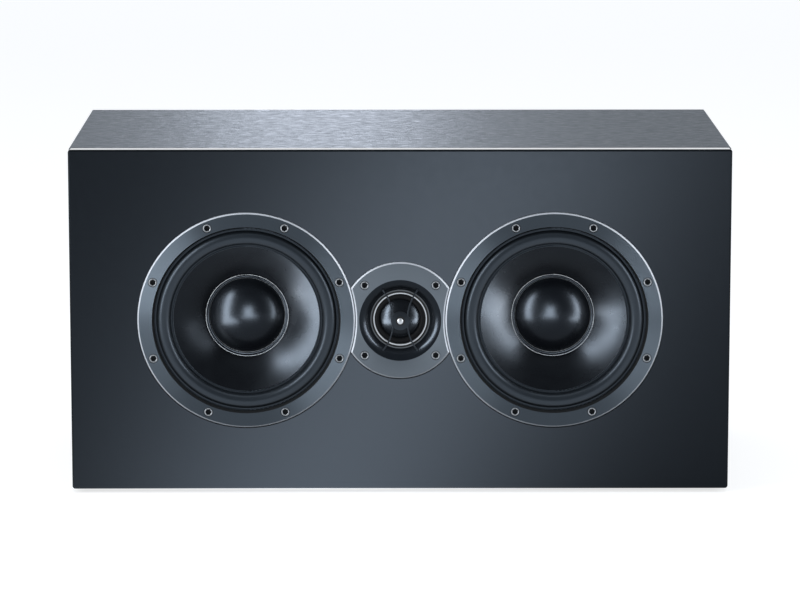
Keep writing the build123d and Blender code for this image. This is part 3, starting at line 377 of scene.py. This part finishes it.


# Driver screws: black steel screws with a hex socket, eight round each woofer and four on the tweeter,
# each turned to its own angle. A lighter steel on the face and bevel of each head is a painted highlight.
def turned_mesh(name, rings, steps=48):
    """A closed shape turned about Y from rings of (radius, depth, blackened) in mm, where the radius may
    depend on the angle. The band from this ring to the next is blackened or left bright."""
    shape = bmesh.new()
    blackened = shape.faces.layers.bool.new("blackened")
    loops = []
    for radius, depth, _ in rings:
        if radius == 0:
            loops.append([shape.verts.new((0, depth * MM, 0))])
            continue
        loop = []
        for i in range(steps):
            angle = 2 * math.pi * i / steps
            reach = (radius(angle) if callable(radius) else radius) * MM
            loop.append(shape.verts.new((reach * math.cos(angle), depth * MM, reach * math.sin(angle))))
        loops.append(loop)
    for (inner, outer), (_, _, black) in zip(zip(loops, loops[1:]), rings):
        for i in range(steps):
            j = (i + 1) % steps
            corners = [inner[i % len(inner)], inner[j % len(inner)],
                       outer[j % len(outer)], outer[i % len(outer)]]
            face = shape.faces.new(list(dict.fromkeys(corners)))
            face[blackened] = black
            face.smooth = True
    bmesh.ops.recalc_face_normals(shape, faces=shape.faces)
    for edge in shape.edges:
        edge.smooth = edge.calc_face_angle() < math.radians(EDGE_ANGLE)
    mesh = bpy.data.meshes.new(name)
    shape.to_mesh(mesh)
    shape.free()
    return bpy.data.objects.new(name, mesh)


def ring_tree():
    """Nodes that set copies of a piece round a circle that faces the front, each turned by its own angle, and
    give them a finish for their bright faces and one for their blackened faces."""
    tree = bpy.data.node_groups.new("ring_of_copies", "GeometryNodeTree")
    sockets = {}
    for name, kind in (("Count", "Int"), ("Ring Radius", "Float"), ("First Angle", "Float"),
                       ("Centre", "Vector"), ("Piece", "Object"), ("Seed", "Int"), ("Bright", "Material"),
                       ("Black", "Material")):
        socket = tree.interface.new_socket(name=name, in_out="INPUT", socket_type=f"NodeSocket{kind}")
        sockets[name] = socket.identifier
    tree.interface.new_socket(name="Geometry", in_out="OUTPUT", socket_type="NodeSocketGeometry")
    given = add(tree, "NodeGroupInput").outputs
    circle = add(tree, "GeometryNodeMeshCircle", {"Vertices": given["Count"], "Radius": given["Ring Radius"]})
    turn = add(tree, "ShaderNodeCombineXYZ", {"X": math.pi / 2, "Y": given["First Angle"]})
    spots = add(tree, "GeometryNodeTransform", {"Geometry": circle.outputs[0], "Translation": given["Centre"],
                                                "Rotation": turn.outputs[0]})
    piece = add(tree, "GeometryNodeObjectInfo", {"Object": given["Piece"], "As Instance": True})
    spin = add(tree, "FunctionNodeRandomValue", {"Seed": given["Seed"]}, data_type="FLOAT")
    angle = add(tree, "ShaderNodeMath", {0: spin.outputs[1], 1: 2 * math.pi}, operation="MULTIPLY")
    about = add(tree, "ShaderNodeCombineXYZ", {"Y": angle.outputs[0]})
    copies = add(tree, "GeometryNodeInstanceOnPoints", {"Points": spots.outputs[0],
                                                        "Instance": piece.outputs["Geometry"],
                                                        "Rotation": about.outputs[0]})
    solid = add(tree, "GeometryNodeRealizeInstances", {"Geometry": copies.outputs[0]})
    bright = add(tree, "GeometryNodeSetMaterial", {"Geometry": solid.outputs[0], "Material": given["Bright"]})
    chosen = add(tree, "GeometryNodeInputNamedAttribute", {"Name": "blackened"}, data_type="BOOLEAN")
    black = add(tree, "GeometryNodeSetMaterial", {"Geometry": bright.outputs[0],
                                                  "Selection": chosen.outputs[0], "Material": given["Black"]})
    add(tree, "NodeGroupOutput", {"Geometry": black.outputs[0]})
    return tree, sockets


copies_tree, copies_inputs = ring_tree()


def ring_of(name, piece, values):
    """A plain mesh of copies of a piece, made by the tree from values named as its inputs are."""
    holder = bpy.data.objects.new(name, bpy.data.meshes.new(name))
    bpy.context.scene.collection.objects.link(holder)
    bpy.context.scene.collection.objects.link(piece)
    nodes = holder.modifiers.new("copies", "NODES")
    nodes.node_group = copies_tree
    for key, value in values.items():
        nodes[copies_inputs[key]] = value
    nodes[copies_inputs["Piece"]] = piece
    seen = holder.evaluated_get(bpy.context.evaluated_depsgraph_get())
    mesh = bpy.data.meshes.new_from_object(seen)
    holder.modifiers.remove(nodes)
    holder.data = mesh
    bpy.context.scene.collection.objects.unlink(piece)
    return holder


# Painted highlight: a light steel ring on the face and bevel, round a dark socket in a blackened body.
screw_head_highlight, tree, shader = new_finish("ground_screw_face", "#A2A7AD", Metallic=0.8)
mottle(tree, shader, (0.4, 0.4, 0.4), (0.35, 0.5), 0.004, ("#93989E", "#B1B6BC"))
screw_black, tree, shader = new_finish("blackened_steel", "#1A1C1E", Metallic=1.0)
mottle(tree, shader, (0.5, 0.5, 0.5), (0.4, 0.55), 0.004)

SINK, HEAD_R, HEAD_H, BEVEL = 0.3, 3.0, 2.4, 0.45
SOCKET, SOCKET_D, SOCKET_TIP, SOCKET_LEAD = 4.0, 1.5, 0.4, 0.25
SHANK_R, SHANK_L = 1.9, 18.0


def hexagon(across):
    """Radius of a hexagon at an angle, from its size across flats."""
    step = math.pi / 3
    return lambda angle: across / 2 / math.cos((angle + step / 2) % step - step / 2)


def socket_screw(name):
    """One screw, from the bottom of its socket over the head to the point. Its thread is left out."""
    seat = SINK + HEAD_H
    return turned_mesh(name, (
        (0, SINK + SOCKET_D + SOCKET_TIP, True),
        (hexagon(SOCKET), SINK + SOCKET_D, True),
        (hexagon(SOCKET), SINK + SOCKET_LEAD, False),
        (SOCKET / 2 + 2 * SOCKET_LEAD, SINK, False),
        (HEAD_R - BEVEL, SINK, False),
        (HEAD_R - BEVEL / 3, SINK + BEVEL / 3, False),
        (HEAD_R, SINK + BEVEL, True),
        (HEAD_R, seat, True),
        (SHANK_R, seat, True),
        (SHANK_R, seat + SHANK_L - SHANK_R, True),
        (0, seat + SHANK_L, True),
    ))


WOOFER_SCREW_RING, TWEETER_SCREW_RING, FIRST_SEED = 71.8, 35.8, 3
for seed, (driver, round_node, ring, count) in enumerate((
    ("left_woofer", "left_woofer_basket", WOOFER_SCREW_RING, 8),
    ("right_woofer", "right_woofer_basket", WOOFER_SCREW_RING, 8),
    ("tweeter", "tweeter_trim_ring", TWEETER_SCREW_RING, 4),
), FIRST_SEED):
    centre = axis_of(round_node)
    centre.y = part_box("front_panel")[0].y
    screws = ring_of(f"{driver}_socket_screws", socket_screw(f"{driver}_screw"), {
        "Count": count, "Ring Radius": ring * MM, "First Angle": math.pi / count, "Centre": centre,
        "Seed": seed, "Bright": screw_head_highlight, "Black": screw_black})
    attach(screws, "cabinet")
    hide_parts(f"{driver}_screws")


# Tweeter: a notched faceplate in a lighter shade of that lacquer, with a gloss black horn, a bright ring, a
# coated cloth dome behind a small plug on four wire legs, and a bright pin in the plug.
horn_gloss, tree, shader = new_finish("horn_gloss", "#06080A", IOR=1.28, Specular_Tint=COOL)
mottle(tree, shader, (10, 10, 10), (0.2, 0.26), 0.008, ("#05070A", "#090B0E"))
plate_lacquer = turned_lacquer("tweeter_turned_lacquer", axis_of("tweeter_trim_ring"), "#5E666E", 0.3)
HORN_R, STEEPEST_EDGE, FLATTEST_EDGE = 29.3, -0.2, -0.95


def plate_part(radius, depth, normal):
    """Gloss in the horn, bare metal with a painted highlight on the sloping outer edge, lacquer elsewhere."""
    if radius < HORN_R:
        return 2
    return 1 if depth < FLANGE_EDGE and FLATTEST_EDGE < normal.y < STEEPEST_EDGE else 0


plate = painted_copy("tweeter_plate", "tweeter_faceplate", "cabinet",
                     (plate_lacquer, cut_edge_and_highlight, horn_gloss), plate_part)

# Turned aluminium: the pin and the ring's inner rim are bright. The outer rim takes a darker copy of the
# same aluminium and the groove black primer, both painted shade.
bright_rim, tree, shader = new_finish("bright_turned_rim", "#C6CBD1", Metallic=0.8)
mottle(tree, shader, (0.6, 0.6, 0.6), (0.3, 0.42), 0.002, ("#BCC1C7", "#D0D5DB"))
shaded_rim_copy, tree, shader = new_finish("dull_turned_rim", "#5F6469", Metallic=0.7)
mottle(tree, shader, (0.6, 0.6, 0.6), (0.4, 0.52), 0.002, ("#575C61", "#686D72"))
dress(bright_rim, "tweeter_plug_pin")
TRIM_IN, TRIM_OUT, TRIM_RIM = 18.3, 21.2, 0.8


def trim_part(radius, depth, normal):
    """Bright on the inner rim, painted shade on the outer one and in the groove between them."""
    if radius < TRIM_IN + TRIM_RIM:
        return 0
    return 1 if radius > TRIM_OUT - TRIM_RIM else 2


painted_copy("tweeter_ring", "tweeter_trim_ring", "cabinet",
             (bright_rim, shaded_rim_copy, primer), trim_part)

# Coated cloth: the dome's fine weave shows through a glossy black sealant. The threads, about 0.2 mm apart,
# are drawn 0.5 mm apart.
dome_cloth, tree, shader = new_finish("coated_cloth", "#030304", IOR=1.29, Specular_Tint=COOL)
mottle(tree, shader, (0.5, 0.5, 0.5), (0.22, 0.3), 0.01, ("#020203", "#040506"))
roll_cloth, tree, shader = new_finish("uncoated_roll_cloth", "#030304", IOR=1.12)
mottle(tree, shader, (0.5, 0.5, 0.5), (0.6, 0.75), 0.012, ("#020203", "#040506"))
DOME_R, DOME_ROLL_R = 14.2, 18.0
dome = painted_copy("tweeter_dome_cloth", "tweeter_diaphragm", None, (dome_cloth, roll_cloth),
                    lambda radius, depth, normal: 0 if radius < DOME_R else 1, SOFT_EDGE_ANGLE)
follow_by_radius(dome, axis_of("tweeter_diaphragm"), "tweeter_dome", DOME_R, DOME_ROLL_R)

# Moulded plug: satin black plastic with a fine spark-eroded grain.
moulding, tree, shader = new_finish("black_moulding", "#0E1013", IOR=1.5, Specular_Tint=COOL)
mottle(tree, shader, (0.6, 0.6, 0.6), (0.3, 0.4), 0.012, ("#0C0E10", "#131518"))
dress(moulding, "tweeter_rear_chamber", "terminal_cup")
PLUG_BOSS_R, BOSS_SLACK = 3.2, 0.06
painted_copy("tweeter_plug", "tweeter_phase_plug", "cabinet", (moulding, primer),
             lambda radius, depth, normal: 1 if radius < PLUG_BOSS_R + BOSS_SLACK else 0)


# Rear terminal: a moulded cup let into the rear panel, held by four small screws, with two plated posts. Each
# post has a ribbed plastic knob, one red and one black.
gold, tree, shader = new_finish("gold_plate", "#C8A45A", Metallic=1.0)
mottle(tree, shader, (0.8, 0.8, 0.8), (0.16, 0.26), 0.003, ("#BE9A50", "#D2AF68"))
dress(gold, "red_post_stud", "black_post_stud", "post_nuts")
dress(screw_black, "terminal_screws")

for colour, dark, light in (("red", "#8E1518", "#A81C1F"), ("black", "#141517", "#1E2022")):
    knob_plastic, tree, shader = new_finish(f"{colour}_knob_plastic", light, IOR=1.5)
    mottle(tree, shader, (1.2, 1.2, 1.2), (0.28, 0.38), 0.01, (dark, light))
    dress(knob_plastic, f"{colour}_post_knob")


# Crossover: a laminate board on nylon pegs inside the rear panel, with two air coils, film capacitors and a
# cement resistor. Black vinyl leads join it to the posts and the drivers.
laminate, tree, shader = new_finish("board_laminate", "#2E5A3A", IOR=1.5)
mottle(tree, shader, (0.8, 0.8, 0.8), (0.3, 0.45), 0.01, ("#285033", "#356645"))
dress(laminate, "crossover_board")
nylon, tree, shader = new_finish("white_nylon", "#DCD9D0", Subsurface_Weight=0.1)
mottle(tree, shader, (2, 2, 2), (0.4, 0.5), 0.005)
dress(nylon, "crossover_pegs")
film, tree, shader = new_finish("capacitor_film", "#B98A2E", IOR=1.5)
mottle(tree, shader, (8, 1, 1), (0.25, 0.35), 0.02, ("#AA7C26", "#C79A3C"))
dress(film, "crossover_capacitors")
cement, tree, shader = new_finish("resistor_cement", "#D6D2C8", Roughness=0.85)
mottle(tree, shader, (0.6, 0.6, 0.6), (0.8, 0.95), 0.06, ("#C8C4B9", "#E2DFD6"))
dress(cement, "crossover_resistor")

# Soft vinyl over stranded wire: a dull black.
vinyl, tree, shader = new_finish("lead_vinyl", "#1A1A1B", IOR=1.5)
mottle(tree, shader, (1.5, 1.5, 1.5), (0.4, 0.55), 0.01, ("#151516", "#212122"))
dress(vinyl, "hookup_leads")


# Studio: a pale paper floor and a softly lit room. The paper looks white to the camera and in mirrors, and
# still takes the object's shadow.
FLOOR_HALF, PAPER_LIFT, ROOM_LIGHT = 30.0, 0.72, 0.4
floor_mesh = bpy.data.meshes.new("floor")
corners = [(FLOOR_HALF * x, FLOOR_HALF * y, 0) for x, y in ((-1, -1), (1, -1), (1, 1), (-1, 1))]
floor_mesh.from_pydata(corners, [], [(0, 1, 2, 3)])
floor = bpy.data.objects.new("floor", floor_mesh)
bpy.context.scene.collection.objects.link(floor)
paper, tree, shader = new_finish("studio_paper", "#BCBFC2", Roughness=0.9, Specular_IOR_Level=0.0)
rays = add(tree, "ShaderNodeLightPath")
direct = rays.outputs["Is Camera Ray"]
for ray in ("Is Glossy Ray", "Is Transmission Ray"):
    direct = add(tree, "ShaderNodeMath", {0: direct, 1: rays.outputs[ray]}, operation="ADD").outputs[0]
lift = add(tree, "ShaderNodeMath", {0: direct, 1: PAPER_LIFT}, operation="MULTIPLY")
shader.inputs["Emission Color"].default_value = linear("#FFFFFF")
tree.links.new(lift.outputs[0], shader.inputs["Emission Strength"])
floor_mesh.materials.append(paper)

world = bpy.data.worlds.new("room")
bpy.context.scene.world = world
world.use_nodes = True
sky = world.node_tree.nodes["Background"]
sky.inputs["Color"].default_value = linear("#E9EEF4")
sky.inputs["Strength"].default_value = ROOM_LIGHT


# Lamps: plain soft boxes. Two tall strips stand to the left and right, and a broad cloth hangs above and
# another behind. The others each light a few pieces alone: one the wrap and the rear, two the front panel,
# and the rest the drivers.
def lamp(name, place, aim, width, height, radiance, lean=0.0):
    """A flat lamp at a place, facing its aim, with one radiance all over. Lean turns it in its own plane, in
    degrees."""
    light = bpy.data.lights.new(name, "AREA")
    light.shape, light.size, light.size_y = "RECTANGLE", width, height
    light.energy = radiance * math.pi * width * height
    made = bpy.data.objects.new(name, light)
    made.location = place
    turn = (Vector(aim) - Vector(place)).to_track_quat("-Z", "Y").to_matrix()
    made.rotation_euler = (turn @ Matrix.Rotation(math.radians(lean), 3, "Z")).to_euler()
    made.visible_camera = False
    bpy.context.scene.collection.objects.link(made)
    return made


def light_only(made, pieces):
    """Lets a lamp light these pieces alone, and lets nothing else stand in its way."""
    lit = bpy.data.collections.new(f"lit_by_{made.name}")
    for piece in pieces:
        lit.objects.link(piece)
    made.light_linking.receiver_collection = lit
    made.light_linking.blocker_collection = lit


FRONT_Y = -0.12
lamp("left_lamp", place=(-0.95, -0.86, 0.56), aim=(0, FRONT_Y, 0.4), width=0.24, height=1.1, radiance=11)
lamp("right_lamp", place=(1.34, -0.8, 0.56), aim=(0, FRONT_Y, 0.4), width=0.28, height=1.1, radiance=9)
lamp("top_lamp", place=(0, 0.2, 2.4), aim=(0, 0, 0.1), width=2.6, height=2.6, radiance=0.9)
back_cloth = lamp("back_cloth", place=(0, 4.6, 1.6), aim=(0, 0, 0.6), width=7.0, height=3.1, radiance=0.35)
back_cloth.data.color = linear("#E3EDF8")[:3]
back_lamp = lamp("back_lamp", place=(-0.1, 2.6, 0.9), aim=(0, 0, 0.3), width=0.3, height=1.3, radiance=3.3)
back_lamp.data.color = linear("#E6EFFF")[:3]
walls = ("top", "left_side", "right_side", "rear")
light_only(back_lamp, [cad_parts[f"{wall}_panel"] for wall in walls])
edge_lamp = lamp("edge_lamp", place=(0, 2.0, 0.65), aim=(0, 0, 0.25), width=3.0, height=0.5, radiance=1.4)
light_only(edge_lamp, [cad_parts["front_panel"]])


def gleam(name, foot, width, height, reach, radiance, glossy, satin=()):
    """A strip that stands on the floor at its foot, and another that lies on it from there over a share of
    the way to the object. Both light the glossy pieces, and the standing one lights the satin ones too."""
    foot = Vector((*foot, 0))
    run = (Vector((0, FRONT_Y, 0)) - foot) * reach
    middle = foot + run / 2
    up = Vector((0, 0, 1))
    standing = lamp(name, foot + up * height / 2, (0, FRONT_Y, height / 2), width, height, radiance)
    lying = lamp(f"{name}_lying", middle + up * MM, middle + up, width, run.length, radiance,
                 math.degrees(math.atan2(run.x, run.y)))
    light_only(standing, [*glossy, *satin])
    light_only(lying, glossy)


left_cone, right_cone = (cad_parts[f"{side}_woofer_cone"] for side in SIDES)
satin_pieces = [*frames, plate]
gleam("left_gleam", foot=(-0.84, -0.69), width=0.25, height=1.0, reach=0.65, radiance=32,
      glossy=caps, satin=satin_pieces)
gleam("right_gleam", foot=(1.25, -0.7), width=0.24, height=1.3, reach=0.65, radiance=32,
      glossy=caps, satin=satin_pieces)
gleam("near_gleam", foot=(-0.84, -0.69), width=0.25, height=1.0, reach=0.76, radiance=38,
      glossy=[left_cone, right_cone, dome])
gleam("far_gleam", foot=(1.5, -0.6), width=0.26, height=0.9, reach=0.8, radiance=38,
      glossy=[right_cone, dome])
gleam("front_gleam", foot=(-0.05, -1.9), width=0.6, height=0.6, reach=0.6, radiance=32, glossy=caps)

# The low strip lies before the front panel. Its glow falls to half at the near or far glow's distance from
# its middle line, so that it fades to both sides and widens away from the panel.
LOW_X, LOW_Y, LOW_WIDTH, LOW_LENGTH, LOW_LEAN = 0.052, -1.288, 1.1, 2.46, -5.3
NEAR_GLOW, FAR_GLOW, NEAR_LEVEL, FAR_LEVEL = 0.114, 0.21, 0.8, 1.0
low_lamp = lamp("low_lamp", place=(LOW_X, LOW_Y, MM), aim=(LOW_X, LOW_Y, 1.0), width=LOW_WIDTH,
                height=LOW_LENGTH, radiance=12.0, lean=LOW_LEAN)
low_lamp.data.use_nodes = True
tree = low_lamp.data.node_tree
across = add(tree, "ShaderNodeNewGeometry").outputs["Parametric"]
parts = add(tree, "ShaderNodeSeparateXYZ", {0: across})
offset = add(tree, "ShaderNodeMath", {0: parts.outputs["X"], 1: 0.5}, operation="SUBTRACT")
spread = add(tree, "ShaderNodeMapRange", {"Value": parts.outputs["Y"], "To Min": FAR_GLOW / LOW_WIDTH,
                                          "To Max": NEAR_GLOW / LOW_WIDTH})
share = add(tree, "ShaderNodeMath", {0: offset.outputs[0], 1: spread.outputs[0]}, operation="DIVIDE")
square = add(tree, "ShaderNodeMath", {0: share.outputs[0], 1: share.outputs[0]}, operation="MULTIPLY")
glow = add(tree, "ShaderNodeMath", {0: 0.5, 1: square.outputs[0]}, operation="POWER")
fade = add(tree, "ShaderNodeMapRange", {"Value": parts.outputs["Y"], "To Min": FAR_LEVEL,
                                        "To Max": NEAR_LEVEL})
level = add(tree, "ShaderNodeMath", {0: glow.outputs[0], 1: fade.outputs[0]}, operation="MULTIPLY")
tree.links.new(level.outputs[0], tree.nodes["Emission"].inputs["Strength"])
light_only(low_lamp, [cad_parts["front_panel"]])


# Camera: a long lens about 2.8 m away and 0.6 m up, a little left of the middle, looking down on the front.
LOOK_DOWN, LOOK_RIGHT = 0.16746, 0.00583
lens = bpy.data.cameras.new("camera")
lens.sensor_width, lens.lens = 36.0, 173.19
camera = bpy.data.objects.new("camera", lens)
camera.location = (-0.01589, -2.81671, 0.59651)
camera.rotation_euler = (math.pi / 2 - LOOK_DOWN, 0, -LOOK_RIGHT)
lens.clip_start, lens.clip_end = 0.05, 200
bpy.context.scene.collection.objects.link(camera)
bpy.context.scene.camera = camera
bpy.context.scene.view_settings.view_transform = "Standard"
